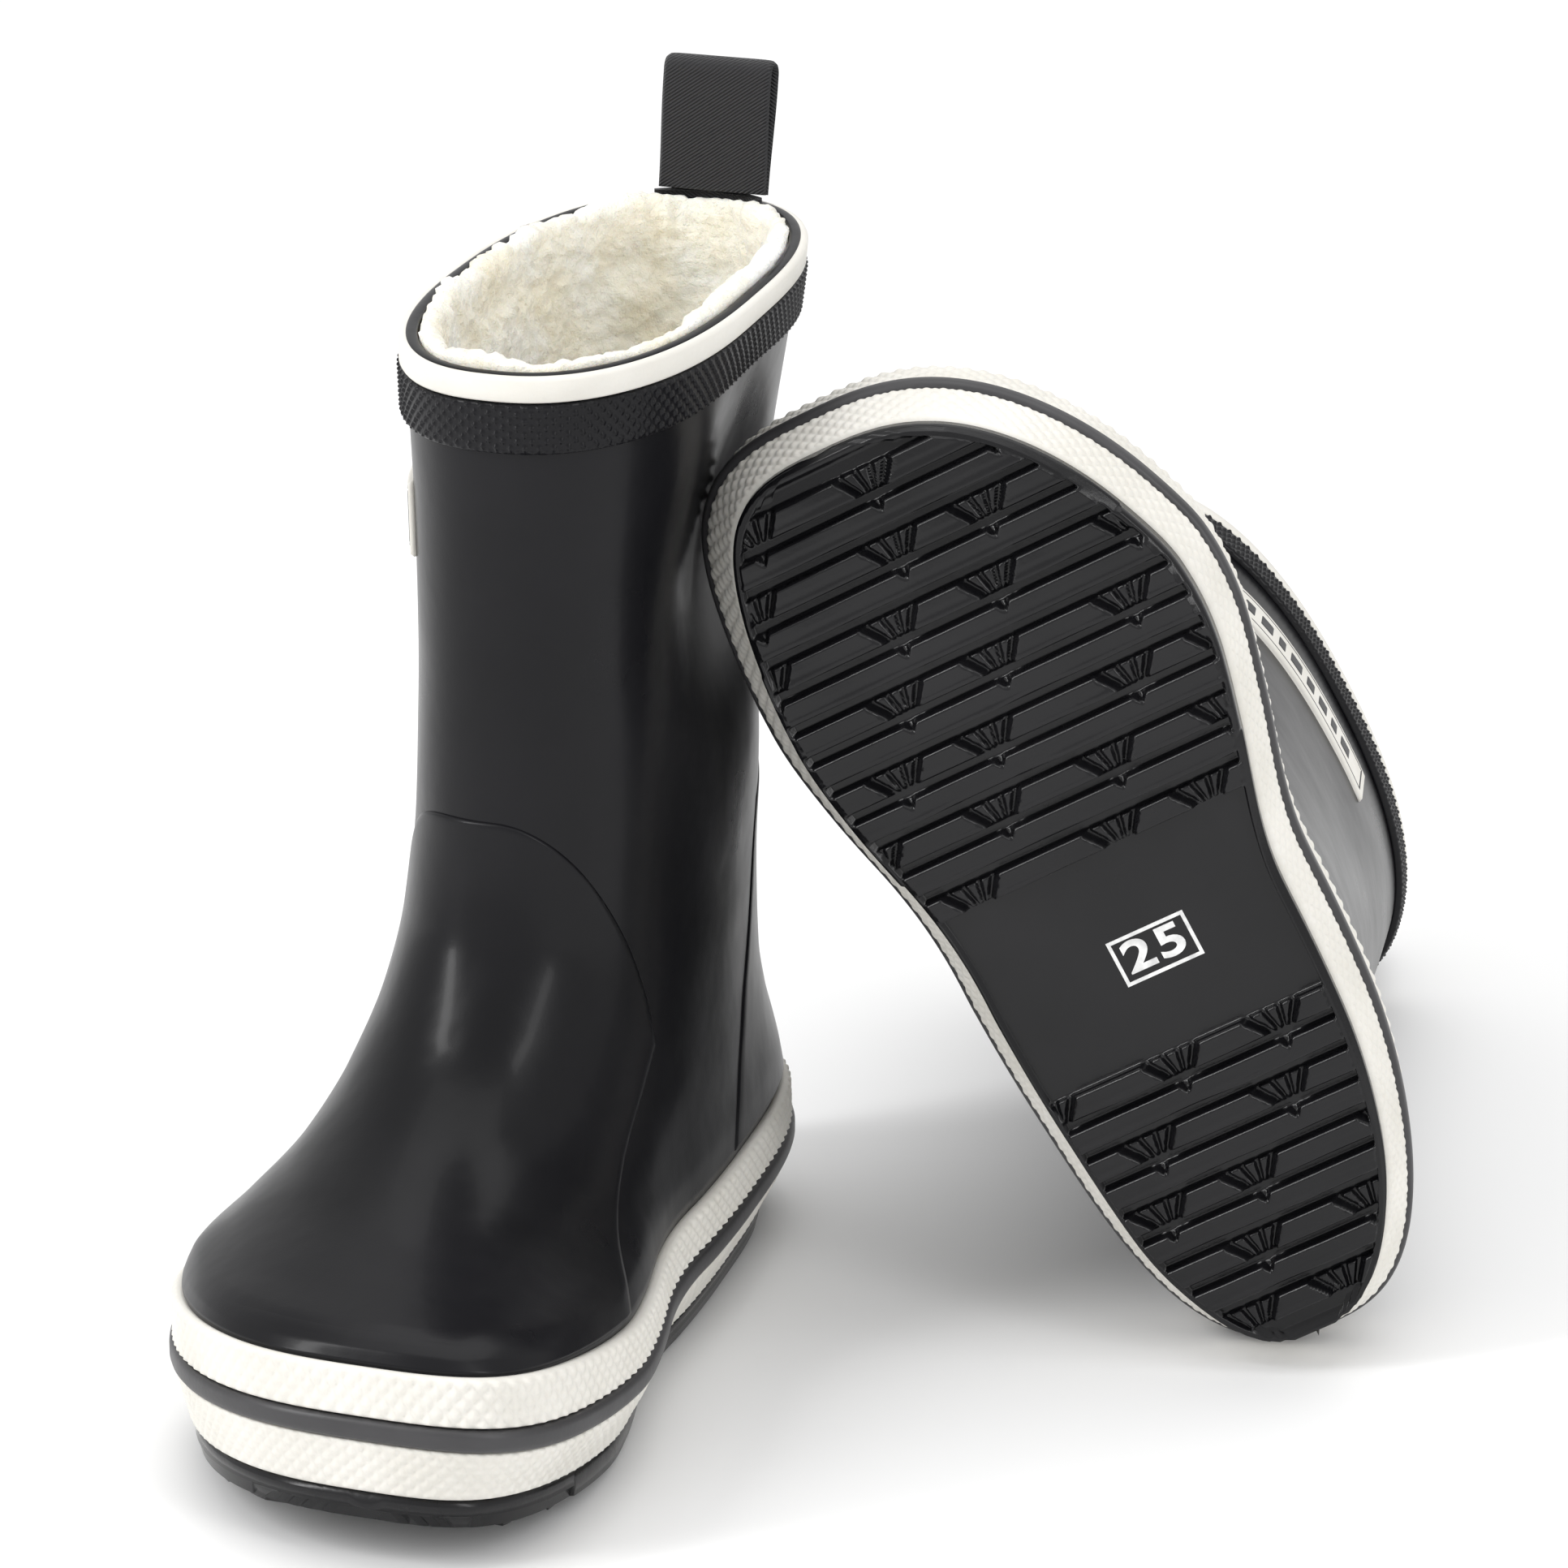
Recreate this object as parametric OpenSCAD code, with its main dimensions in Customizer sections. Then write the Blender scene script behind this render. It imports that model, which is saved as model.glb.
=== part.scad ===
// A pair of child's wool-lined rubber rain boots: the right boot stands, the left boot
// lies on its back against it. One boot is drawn (toe to -Y, inner side +X, up +Z) and the
// left one is its mirror image, turned and set down. Origin: floor, middle of the right sole.

/* [Size] */
// Length of the sole over its side strips, mm
sole_length = 179.5; // [165:0.5:195]
// Width of the sole across the ball, mm
ball_width = 86; // [78:0.5:94]
// Width of the sole across the heel, mm
heel_width = 63.6; // [58:0.2:70]
// Height of the rim above the floor, mm
rim_height = 179; // [165:1:195]
// Width of the rim outside, mm
rim_width = 53.2; // [50:0.2:60]
// Rise of the toe above the floor, mm
toe_spring = 9; // [4:0.5:12]
// Slope of the rim, back higher than front
rim_tilt = 0.033; // [0:0.001:0.06]

/* [Walls] */
// Thickness of the rubber shell, mm
shell_wall = 2; // [1.6:0.1:2.6]
// Thickness of the wool lining, mm
lining_wall = 3; // [2:0.1:4]
// Gap left between nested layers, mm
gap = 0.15; // [0.12:0.01:0.25]
// Thickness of the ankle and heel overlays, mm
overlay = 0.6; // [0.4:0.1:1.2]

/* [Sole] */
// Depth of the tread bars, mm
tread_depth = 2.6; // [1.5:0.1:4]
// Distance from one tread bar to the next, mm
tread_pitch = 5.8; // [5:0.1:8]
// Width of a tread bar, mm
bar_width = 3.9; // [3:0.1:4.4]
// Top of the lower side strip, mm
lower_strip_top = 13.75; // [12:0.25:15]
// Top of the dark ridge strip, mm
ridge_top = 18.1; // [17:0.1:20]
// Top of the upper side strip, mm
upper_strip_top = 26.2; // [25:0.1:27]

/* [Top edge] */
// Height of the smooth strip below the rim, mm
stripe_height = 4.4; // [3:0.1:6]
// Height of the textured band below the stripe, mm
band_height = 8.8; // [6:0.1:12]
// How far the band stands proud of the shaft, mm
band_proud = 1.6; // [1:0.1:2.4]

/* [Pull loop] */
// Width of the webbing, mm
web_width = 19.5; // [15:0.5:21]
// Thickness of one ply of webbing, mm
web = 1.2; // [1:0.1:1.6]
// Height of the loop above its root, mm
loop_height = 20.8; // [15:0.1:30]
// Lean of the standing boot's loop towards the back, degrees
loop_lean = 12; // [0:1:20]
// Lean of the lying boot's loop towards the shaft, degrees
left_loop_lean = -6; // [-20:1:0]

/* [Lying boot] */
// How far the lying boot's toe presses the standing shaft in, mm
press_depth = 5; // [0:0.5:8]
// Depth and height of the middle of that dent, mm
press_at = [38, 138];
// Reach of the dent, mm
press_reach = 27; // [18:1:36]
// Turns of the lying boot about X, Y and Z, degrees
left_turn = [-89.71, -27.9, 12.89];
// Place of the lying boot's own origin, mm
left_place = [90.4, 33.7, 82.2];

/* [Hidden] */

steps = 36;
// 1 on the standing boot, whose shaft the other boot leans on, and 0 on the lying one.
$press = 1;
ky = sole_length / 179.5;
kb = ball_width / 86;
kh = heel_width / 63.6;
kz = (rim_height - 28) / 151;
kr = rim_width / 53.2;
black = [0.06, 0.06, 0.07];
cream = [0.87, 0.85, 0.78];
wool = [0.93, 0.91, 0.85];

// Shape of the shell by height above the floor, in the drawn size.
front_y = [[0, -89.5], [27, -89.5], [28, -85.5], [32, -84.8], [38, -75.5], [45, -60],
  [54, -44.5], [66, -29.5], [80, -20.5], [96, -15.5], [115, -14], [140, -15], [179, -18.5]];
back_y = [[0, 90], [27, 90], [28, 86], [32, 86], [38, 85.5], [45, 84], [54, 81.5],
  [66, 79], [80, 77.5], [96, 77.5], [115, 79], [140, 82.5], [179, 87.5]];
rear_half = [[0, 31.8], [27, 31.8], [28, 27.8], [32, 28.6], [38, 28.2], [45, 27.2],
  [54, 26], [66, 25], [80, 24.4], [96, 24.3], [115, 24.6], [140, 25.5], [179, 26.6]];
fore_half = [[0, 43], [27, 43], [28, 39], [32, 39.6], [38, 37.6], [45, 34.5],
  [54, 31.3], [66, 28.2], [80, 26.6], [96, 25.8], [115, 25.4], [140, 25.8], [179, 26.6]];
squareness = [[0, 2.6], [38, 2.5], [54, 2.3], [80, 2.2], [115, 2.25], [179, 2.35]];
skew_share = [[0, 1], [32, 1], [38, 0.95], [45, 0.9], [54, 0.8], [66, 0.6], [80, 0.45],
  [96, 0.3], [115, 0.15], [140, 0.05], [179, 0]];
inward = [[0, 0], [38, 0], [45, 0.2], [54, 0.4], [66, 0.7], [80, 1.1], [96, 1.6],
  [115, 2.2], [140, 2.9], [179, 3.6]];
heights = [28, 32, 38, 45, 54, 66, 80, 96, 115, 140, 157];

// Smooth step from 0 to 1.
function sm(v) = let (u = min(max(v, 0), 1)) u * u * (3 - 2 * u);
function signed_pow(v, e) = sign(v) * pow(abs(v), e);
function spring(y) = toe_spring * pow(max(0, (-y / ky - 15) / 76), 2);
function half_width(s, y) = let (u = sm((10 - y / ky) / 60))
  lookup(s, rear_half) * (s > 100 ? kr : kh) * (1 - u)
  + lookup(s, fore_half) * (s > 100 ? kr : kb) * u;
function skew(s, y) = lookup(s, inward) + lookup(s, skew_share)
  * (-2.4 - 1.6 * sm((14 - y / ky) / 30)
  + 11.5 * pow(min(max((-45 - y / ky) / 46, 0), 1), 1.6));

// Point on the boot: s picks the section, z is its height, a the angle from the back
// towards the inner side, g how far it stands outside the section.
function pt(s, z, a, g) =
  let (n = lookup(s, squareness),
    y0 = lookup(s, front_y) * ky - g,
    y1 = lookup(s, back_y) * ky + g,
    y = (y0 + y1) / 2 + (y1 - y0) / 2 * signed_pow(cos(a), 2 / n),
    u = sm((10 - y / ky) / 60),
    w = half_width(s, y) + g,
    x = skew(s, y) + w * signed_pow(sin(a), 2 / n)
      - $press * press_depth * sm(1.4 * sin(a)) * exp(-pow((y - press_at[0]) / press_reach, 2)
      - pow((z - press_at[1]) / press_reach, 2)))
  [x, y, z + spring(y) * (1 - sm((z - 20) / 60))
    + rim_tilt * (y - 35) * sm((z - 100) / 79)];
function tall(z) = z <= 28 ? z : 28 + (z - 28) * kz;
function fall(z) = 1 - sm((z - 90) / 50);
function ring(s, z, g) = [for (i = [0 : steps - 1]) pt(s, z, 360 * i / steps, g)];
function wall(g, drop) = [for (h = heights) ring(h, tall(h) - drop * fall(h), g)];
function flip(l) = [for (i = [len(l) - 1 : -1 : 0]) l[i]];

// Skin over a stack of rings. Closed stacks wrap round, open ones get two end caps. From
// ring fold on the stack runs back down inside, and its diagonals turn the other way, so
// that two walls one inside the other have the same facets.
module skin(rings, closed = false, fold = 1000) {
  n = len(rings[0]);
  m = len(rings);
  last = closed ? m - 1 : m - 2;
  base = (m - 1) * n;
  half = n / 2;
  sides = [for (k = [0 : last]) for (i = [0 : n - 1]) for (t = [0, 1])
    let (k1 = (k + 1) % m, j = (i + 1) % n)
    k >= fold ? (t == 0 ? [k * n + i, k * n + j, k1 * n + i]
    : [k * n + j, k1 * n + j, k1 * n + i])
    : (t == 0 ? [k * n + i, k1 * n + j, k1 * n + i] : [k * n + i, k * n + j, k1 * n + j])];
  under = closed ? [] : [for (i = [0 : half - 1])
    i == 0 ? [n - 1, 1, 0] : (i == half - 1 ? [half + 1, half, i]
    : [n - i, n - i - 1, i + 1, i])];
  over = closed ? [] : [for (i = [0 : half - 1])
    i == 0 ? [base, base + 1, base + n - 1]
    : (i == half - 1 ? [base + i, base + half, base + half + 1]
    : [base + i, base + i + 1, base + n - i - 1, base + n - i])];
  polyhedron([for (r = rings) for (p = r) p], concat(sides, under, over), convexity = 8);
}

// Closed sheet from columns of points, each column up the outside and down the inside.
module sheet(cols) {
  m = len(cols[0]);
  n = len(cols);
  h = m / 2;
  base = (n - 1) * m;
  sides = [for (i = [0 : n - 2]) for (k = [0 : m - 1]) for (t = [0, 1])
    let (k1 = (k + 1) % m)
    t == 0 ? [i * m + k, (i + 1) * m + k1, i * m + k1]
    : [i * m + k, (i + 1) * m + k, (i + 1) * m + k1]];
  ends = [for (r = [0 : h - 2]) for (t = [0 : 3])
    t == 0 ? [r, r + 1, m - 2 - r]
    : (t == 1 ? [r, m - 2 - r, m - 1 - r]
    : (t == 2 ? [base + m - 2 - r, base + r + 1, base + r]
    : [base + m - 1 - r, base + m - 2 - r, base + r]))];
  polyhedron([for (c = cols) for (p = c) p], concat(sides, ends), convexity = 8);
}

// One column of a sheet lying on the shell at angle a, between g0 and g1 outside it.
function column(a, zs, g0, g1) = concat(
  [for (z = zs) pt(z, tall(z), a, g1)], [for (z = flip(zs)) pt(z, tall(z), a, g0)]);

// Rubber shell: closed foot and open shaft, one skin outside and one inside.
module shell() {
  outer = concat([ring(16, 13.9, -4)], wall(0, 0), [ring(179, rim_height, 0)]);
  inner = concat([ring(16, 13.9 + shell_wall, -4 - shell_wall)],
    wall(-shell_wall, shell_wall), [ring(179, rim_height, -shell_wall)]);
  skin(concat(outer, flip(inner)), fold = len(outer));
}

// Angle range and height where the webbing tail sits between lining and shell.
tail_low = 159;
function pocket(i) = i <= 2 || i >= steps - 2 ? web + gap : 0;
function lining_ring(s, z, g, cut) =
  [for (i = [0 : steps - 1]) pt(s, z, 360 * i / steps, g - cut * pocket(i))];

// Wool lining: a sock inside the shell, set back behind the webbing tail.
module lining() {
  o = shell_wall + gap;
  w = o + lining_wall;
  outer = concat([ring(16, 13.9 + o, -4 - o)], wall(-o, o),
    [lining_ring(tail_low, tall(tail_low), -o, 1),
     lining_ring(179, rim_height - 0.6, -o, 1)]);
  inner = concat([ring(16, 13.9 + w, -4 - w)], wall(-w, w),
    [ring(179, rim_height - 0.6, -w)]);
  skin(concat(outer, flip(inner)), fold = len(outer));
}

module insole() {
  z = 13.9 + shell_wall + gap + lining_wall;
  g = -4 - shell_wall - gap - lining_wall;
  skin([ring(16, z + 0.25, g - 0.5), ring(16, z + 3.2, g - 0.6), ring(16, z + 4, g - 1.6)]);
}

module sole_filler() {
  skin([ring(16, 5.65, -7.7), ring(16, lower_strip_top, -6.3)]);
}

// The strips round the foot, each a closed ring with its own profile [height, outside].
module strip(profile, lift) {
  skin([for (p = profile) [for (i = [0 : steps - 1])
    let (q = pt(16, p[0], 360 * i / steps, p[1]))
    [q[0], q[1], q[2] + (p[2] * lift) * sm((-q[1] / ky - 30) / 50)]]], closed = true);
}
module upper_foxing() {
  z0 = ridge_top + gap;
  strip([[z0, -0.9, 0], [upper_strip_top - 0.6, -1.3, 1], [upper_strip_top, -1.9, 1],
    [upper_strip_top, -3.8, 1], [z0, -3.8, 0]], 1.6);
}
module foxing_ridge() {
  z0 = lower_strip_top + gap;
  strip([[z0, -0.8, 0], [z0 + 0.9, 0.1, 0], [ridge_top - 0.9, 0.1, 0],
    [ridge_top, -0.8, 0], [ridge_top, -3.8, 0], [z0, -3.8, 0]], 0);
}
module lower_foxing() {
  strip([[5.65, -4.8, 0], [lower_strip_top, -1, 0], [lower_strip_top, -6.1, 0],
    [5.65, -7.4, 0]], 0);
}

// Middles of the tread bars: under the front of the foot, then under the heel.
fore_bars = [for (k = [0 : 12]) (-79 + tread_pitch * k) * ky];
heel_bars = [for (k = [0 : 8]) (31.4 + tread_pitch * k) * ky];
bars = concat(fore_bars, heel_bars);

// Side view of the outsole: flat on top, tread bars below, both following the toe's rise.
module sole_side() {
  r = bar_width / 2;
  top = [for (y = [92 : -7 : -93]) [y * ky, 5.5 + spring(y * ky)]];
  under = [for (y = bars) for (c = [[-r, tread_depth], [-r, 0], [r, 0], [r, tread_depth]])
    [y + c[0], spring(y + c[0]) + c[1]]];
  polygon(concat(top, [[-93 * ky, tread_depth + spring(-93 * ky)]], under,
    [[92 * ky, tread_depth]]));
}

// A slanted break across one bar, shallower than the grooves between bars.
module tread_break(y, x) {
  r = bar_width / 2 + 0.4;
  translate([x, y, spring(y + r) - 2])
    linear_extrude(2 + tread_depth * 0.8)
      polygon([[-1, -r], [1, -r], [-0.6, r], [-2.6, r]]);
}

// Outsole: the side view cut to the sole's outline, its bars broken in staggered places.
module outsole() {
  difference() {
    intersection() {
      translate([-60, 0, 0])
        rotate([90, 0, 90])
          linear_extrude(120)
            sole_side();
      translate([0, 0, -1])
        linear_extrude(30)
          polygon([for (p = ring(16, 0, -5.3)) [p[0], p[1]]]);
    }
    for (k = [0 : len(bars) - 1])
      for (side = [-1, 1])
        tread_break(bars[k], skew(16, bars[k])
          + side * half_width(16, bars[k]) * (0.36 + 0.2 * ((k + side) % 3 - 1)));
  }
}

module collar(z0, z1, g0, g1, round) {
  r = round;
  skin([ring(z0, z0, g0 + (g1 - g0) * 0.6), ring(z0 + r, z0 + r, g1),
    ring(z1 - r, z1 - r, g1), ring(z1, z1, g0 + (g1 - g0) * 0.6),
    ring(z1, z1, g0), ring(z0, z0, g0)], closed = true);
}
module top_band() {
  z1 = rim_height - stripe_height - 0.35;
  collar(z1 - band_height, z1, 0.15, band_proud, 0.8);
}
module top_stripe() {
  z1 = rim_height - 0.2;
  collar(z1 - stripe_height, z1, 0.15, 1.3, 0.5);
}

// Front reinforcement from the side strips up to a curved edge above the ankle.
function ankle_top(a) = a > 180 ? 100 - 40 * pow((a - 180) / 70, 4)
  : 100 - 42 * pow((180 - a) / 70, 2);
module ankle_overlay() {
  sheet([for (a = [110 : 10 : 250]) let (t = ankle_top(a))
    column(a, concat([28.7, 32, 38, 45, 54], [for (f = [0.34, 0.67, 1])
      54 + (t - 54) * f]), 0.12, 0.12 + overlay)]);
}

// Heel counter: its edges slope back as they rise.
module heel_counter() {
  sheet([for (c = [-65 : 5 : 65]) let (t = 88 - 22 * pow(abs(c) / 65, 2))
    [for (q = [0 : 1]) for (r = [0 : 6])
      let (u = q == 0 ? r : 6 - r,
        z = [28.7, 32, 38, 45, 54, 66, t][u] - (u == 5 ? 6 * pow(c / 65, 2) : 0))
      pt(z, tall(z), c * (1 - 0.3 * (z - 28) / 60), q == 0 ? 0.3 + overlay : 0.3)]]);
}

module side_badge() {
  sheet([for (a = [230 : 10 : 280]) column(a, [140.2, 153], 0.12, 1)]);
}

module loop_tail() {
  sheet([for (a = [-20 : 10 : 20])
    [for (q = [0, 1]) for (r = [0, 1])
      let (top = q == 0 ? r : 1 - r, s = top == 1 ? 179 : 160)
      pt(s, top == 1 ? rim_height + 0.9 : tall(160), a,
        q == 0 ? -shell_wall - 0.15 : -shell_wall - 0.15 - web + 0.1)]]);
}

// Pull loop: webbing folded over, drawn in the y-z plane from its root and extruded.
root_z = rim_height + 4.2;
root_y = 84.2 * ky;
root_x = 4.1;
module loop_profile() {
  r0 = 1.25;
  r1 = 2.5;
  h = loop_height - r0 - r1;
  e = asin((r1 - r0) / h);
  in0 = 0.3;
  in1 = r1 - web;
  g = 6;
  ei = asin((in1 - in0) / (h - g));
  difference() {
    polygon(concat([for (i = [0 : 8]) let (a = 180 + e + (180 - 2 * e) * i / 8 - 0)
        [r0 * cos(a), r0 * sin(a)]],
      [for (i = [0 : 8]) let (a = -e + (180 + 2 * e) * i / 8)
        [r1 * cos(a), h + r1 * sin(a)]]));
    polygon(concat([for (i = [0 : 4]) let (a = 180 + ei + (180 - 2 * ei) * i / 4)
        [in0 * cos(a), g + in0 * sin(a)]],
      [for (i = [0 : 8]) let (a = -ei + (180 + 2 * ei) * i / 8)
        [in1 * cos(a), h + in1 * sin(a)]]));
  }
}
module loop(lean) {
  translate([root_x, root_y, root_z])
    rotate([-lean, 0, 0])
      rotate([90, 0, 90])
        translate([0, 0, -web_width / 2])
          linear_extrude(web_width)
            loop_profile();
}

// Standing boot: the last bar under the front of the foot lies on the origin.
module right() {
  translate([0, -fore_bars[12], 0])
    children();
}
module left() {
  $press = 0;
  translate(left_place)
    rotate(left_turn)
      mirror([1, 0, 0])
        children();
}

module right_outsole() { color(black) right() outsole(); }
module right_sole_filler() { color([0.55, 0.5, 0.42]) right() sole_filler(); }
module right_insole() { color(wool) right() insole(); }
module right_wool_lining() { color(wool) right() lining(); }
module right_rubber_shell() { color(black) right() shell(); }
module right_ankle_overlay() { color(black) right() ankle_overlay(); }
module right_heel_counter() { color(black) right() heel_counter(); }
module right_upper_foxing() { color(cream) right() upper_foxing(); }
module right_foxing_ridge() { color([0.17, 0.17, 0.18]) right() foxing_ridge(); }
module right_lower_foxing() { color(cream) right() lower_foxing(); }
module right_top_band() { color(black) right() top_band(); }
module right_top_stripe() { color(cream) right() top_stripe(); }
module right_side_badge() { color(cream) right() side_badge(); }
module right_loop_tail() { color(black) right() loop_tail(); }
module right_pull_loop() { color(black) right() loop(loop_lean); }

module left_outsole() { color(black) left() outsole(); }
module left_sole_filler() { color([0.55, 0.5, 0.42]) left() sole_filler(); }
module left_insole() { color(wool) left() insole(); }
module left_wool_lining() { color(wool) left() lining(); }
module left_rubber_shell() { color(black) left() shell(); }
module left_ankle_overlay() { color(black) left() ankle_overlay(); }
module left_heel_counter() { color(black) left() heel_counter(); }
module left_upper_foxing() { color(cream) left() upper_foxing(); }
module left_foxing_ridge() { color([0.17, 0.17, 0.18]) left() foxing_ridge(); }
module left_lower_foxing() { color(cream) left() lower_foxing(); }
module left_top_band() { color(black) left() top_band(); }
module left_top_stripe() { color(cream) left() top_stripe(); }
module left_side_badge() { color(cream) left() side_badge(); }
module left_loop_tail() { color(black) left() loop_tail(); }
module left_pull_loop() { color(black) left() loop(left_loop_lean); }

right_outsole();
right_sole_filler();
right_insole();
right_wool_lining();
right_rubber_shell();
right_ankle_overlay();
right_heel_counter();
right_upper_foxing();
right_foxing_ridge();
right_lower_foxing();
right_top_band();
right_top_stripe();
right_side_badge();
right_loop_tail();
right_pull_loop();
left_outsole();
left_sole_filler();
left_insole();
left_wool_lining();
left_rubber_shell();
left_ankle_overlay();
left_heel_counter();
left_upper_foxing();
left_foxing_ridge();
left_lower_foxing();
left_top_band();
left_top_stripe();
left_side_badge();
left_loop_tail();
left_pull_loop();
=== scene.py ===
"""A pair of child's wool-lined rubber rain boots, one standing and one lying against it."""
import math
import bpy
import numpy as np
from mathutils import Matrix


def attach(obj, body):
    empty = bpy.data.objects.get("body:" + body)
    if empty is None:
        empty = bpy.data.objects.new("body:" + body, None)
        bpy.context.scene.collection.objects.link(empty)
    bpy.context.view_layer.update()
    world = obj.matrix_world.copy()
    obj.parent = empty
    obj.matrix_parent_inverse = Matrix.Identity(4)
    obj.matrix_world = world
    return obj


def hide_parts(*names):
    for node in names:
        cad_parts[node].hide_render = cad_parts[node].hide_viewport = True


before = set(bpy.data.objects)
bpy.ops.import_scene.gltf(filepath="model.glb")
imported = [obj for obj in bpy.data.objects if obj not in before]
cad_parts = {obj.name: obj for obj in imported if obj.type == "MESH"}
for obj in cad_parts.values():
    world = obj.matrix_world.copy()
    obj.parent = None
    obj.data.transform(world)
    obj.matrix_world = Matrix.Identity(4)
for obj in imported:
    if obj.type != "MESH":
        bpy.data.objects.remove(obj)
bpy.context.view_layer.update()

# Camera: at knee height a little over a metre away, looking down on the pair from the
# standing boot's toe, a fifth of a right angle round towards its inner side.
look_at = np.array([0.0395, 0.0289, 0.100])
swing = math.radians(19.3)
rise = math.radians(19.37)
distance = 1.114
towards = np.array([math.sin(swing) * math.cos(rise), -math.cos(swing) * math.cos(rise),
                    math.sin(rise)])
camera = bpy.data.objects.new("camera", bpy.data.cameras.new("camera"))
bpy.context.scene.collection.objects.link(camera)
camera.location = look_at + distance * towards
camera.rotation_euler = (math.pi / 2 - rise, 0, swing)
camera.data.lens = 155.0
camera.data.sensor_width = 36
camera.data.clip_end = 50
bpy.context.scene.camera = camera

# ---------------------------------------------------------------------------------------
# Rubber shell: natural rubber sheets laid over a last by hand and cured in one piece,
# 2 mm thick, closed under the foot. Everything else is wrapped round or put inside it.
MM = 0.001
LEVELS = np.array([28, 32, 38, 45, 54, 66, 80, 96, 115, 140, 179.0])
FRONT = [-87.3, -84.8, -72.8, -56, -38.8, -24.8, -16.8, -14.3, -14, -15, -18.5]
BACK = [87.8, 87.2, 86, 84, 81.5, 79, 77.5, 77.5, 79, 82.5, 87.5]
REAR_HALF = [29.6, 29.6, 28.8, 27.8, 26.5, 25.3, 24.5, 24.4, 24.6, 25.5, 26.6]
FORE_HALF = [40.4, 39.2, 34.6, 29.8, 26.4, 24.8, 24.4, 24.8, 25, 25.6, 26.6]
SQUARE = [2.6, 2.5, 2.35, 2.15, 2.05, 2.05, 2.1, 2.15, 2.25, 2.3, 2.35]
SKEW = [1, 1, 0.95, 0.9, 0.8, 0.6, 0.45, 0.3, 0.15, 0.05, 0]
INWARD = [0, 0, 0, 0.2, 0.4, 0.7, 1.1, 1.7, 2.2, 2.9, 3.6]
STATIONS = (FRONT, BACK, REAR_HALF, FORE_HALF, SQUARE, SKEW, INWARD)
SOLE = (-89.5, 90.0, 31.8, 43.0, 2.6, 1.0, 0.0)
RIM = 179.0
BED = 13.9           # height of the shell's underside
BED_INSET = 4.0      # how far the shell stands inside the sole's outline there
LAYER_GAP = 0.15
SHELL_WALL = 2.0
LINING_WALL = 3.0
LYING_TURN = np.radians([-89.71, -27.9, 12.89])
LYING_PLACE = np.array([90.4, 33.7, 82.95])
STANDING_PLACE = np.array([0, 9.4, 0])
DENT_DEPTH, DENT_REACH, DENT_AT = 9.5, 27, (39, 137)


def ease(v):
    """Smooth step from 0 to 1: 3u^2 - 2u^3 of the value held between 0 and 1."""
    u = np.clip(v, 0, 1)
    return u * u * (3 - 2 * u)


def signed_power(v, e):
    """The value's size to the power e, with the value's own sign."""
    return np.sign(v) * np.abs(v) ** e


def steady(table, z):
    """Cubic through the stations whose slopes are the harmonic means of the chords beside
    them, so that it never overshoots between two stations."""
    v = np.array(table, float)
    h = np.diff(LEVELS)
    chord = np.diff(v) / h
    slope = np.zeros(len(v))
    same = chord[1:] * chord[:-1] > 0
    a, b = chord[:-1], chord[1:]
    wa, wb = 2 * h[1:] + h[:-1], h[1:] + 2 * h[:-1]
    safe = np.where(same, 1, 0)
    slope[1:-1] = safe * (wa + wb) / (wa / np.where(same, a, 1) + wb / np.where(same, b, 1))
    slope[0], slope[-1] = chord[0], chord[-1]
    z = np.clip(z, LEVELS[0], LEVELS[-1])
    k = np.clip(np.searchsorted(LEVELS, z, side="right") - 1, 0, len(h) - 1)
    t = (z - LEVELS[k]) / h[k]
    return ((1 + 2 * t) * (1 - t) ** 2 * v[k] + t * (1 - t) ** 2 * h[k] * slope[k]
            + t * t * (3 - 2 * t) * v[k + 1] + t * t * (t - 1) * h[k] * slope[k + 1])


def shaft(s):
    """The section's seven measures at height s, from the stations."""
    return tuple(steady(t, np.asarray(s, float)) for t in STATIONS)


def station(k):
    """The seven measures at one of the heights in LEVELS."""
    return tuple(t[k] for t in STATIONS)


def toe_rise(y):
    """Height of the sole above the floor: a parabola from 15 mm in front of the middle."""
    return 9 * (np.maximum(-y - 15, 0) / 76) ** 2


def bend(y):
    """Sideways run of the sole's middle line: out at the waist, in at toe and heel."""
    return (-2.4 - 1.6 * ease((14 - y) / 30) + 1.5 * ease((-28 - y) / 30)
            + 11.5 * np.clip((-45 - y) / 46, 0, 1) ** 1.6 + 2.8 * ease((y - 35) / 55))


def around(form, z, a, g, pressed):
    """Point of the boot at angle a from the back towards the inner side: a superellipse
    whose width runs from the heel's to the ball's, pushed to one side at the toe, g
    outside the section, with the lying boot's dent and the rise of toe and rim."""
    front, back, rear, fore, square, skew, inward = form
    n = square + 0.15 * skew * (1 - np.cos(a))
    y = (front + back) / 2 + ((back - front) / 2 + g) * signed_power(np.cos(a), 2 / n)
    u = ease((10 - y) / 60)
    width = rear * (1 - u) + fore * u + g
    x = inward + skew * bend(y) + width * signed_power(np.sin(a), 2 / n)
    x = x - pressed * DENT_DEPTH * ease(1.4 * np.sin(a)) * np.exp(
        -((y - DENT_AT[0]) / DENT_REACH) ** 2 - ((z - DENT_AT[1]) / DENT_REACH) ** 2)
    up = (z + toe_rise(y) * (1 - ease((z - 20) / 60))
          + 0.033 * (y - 35) * ease((z - 100) / 79))
    return np.stack(np.broadcast_arrays(x, y, up), -1)


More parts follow.
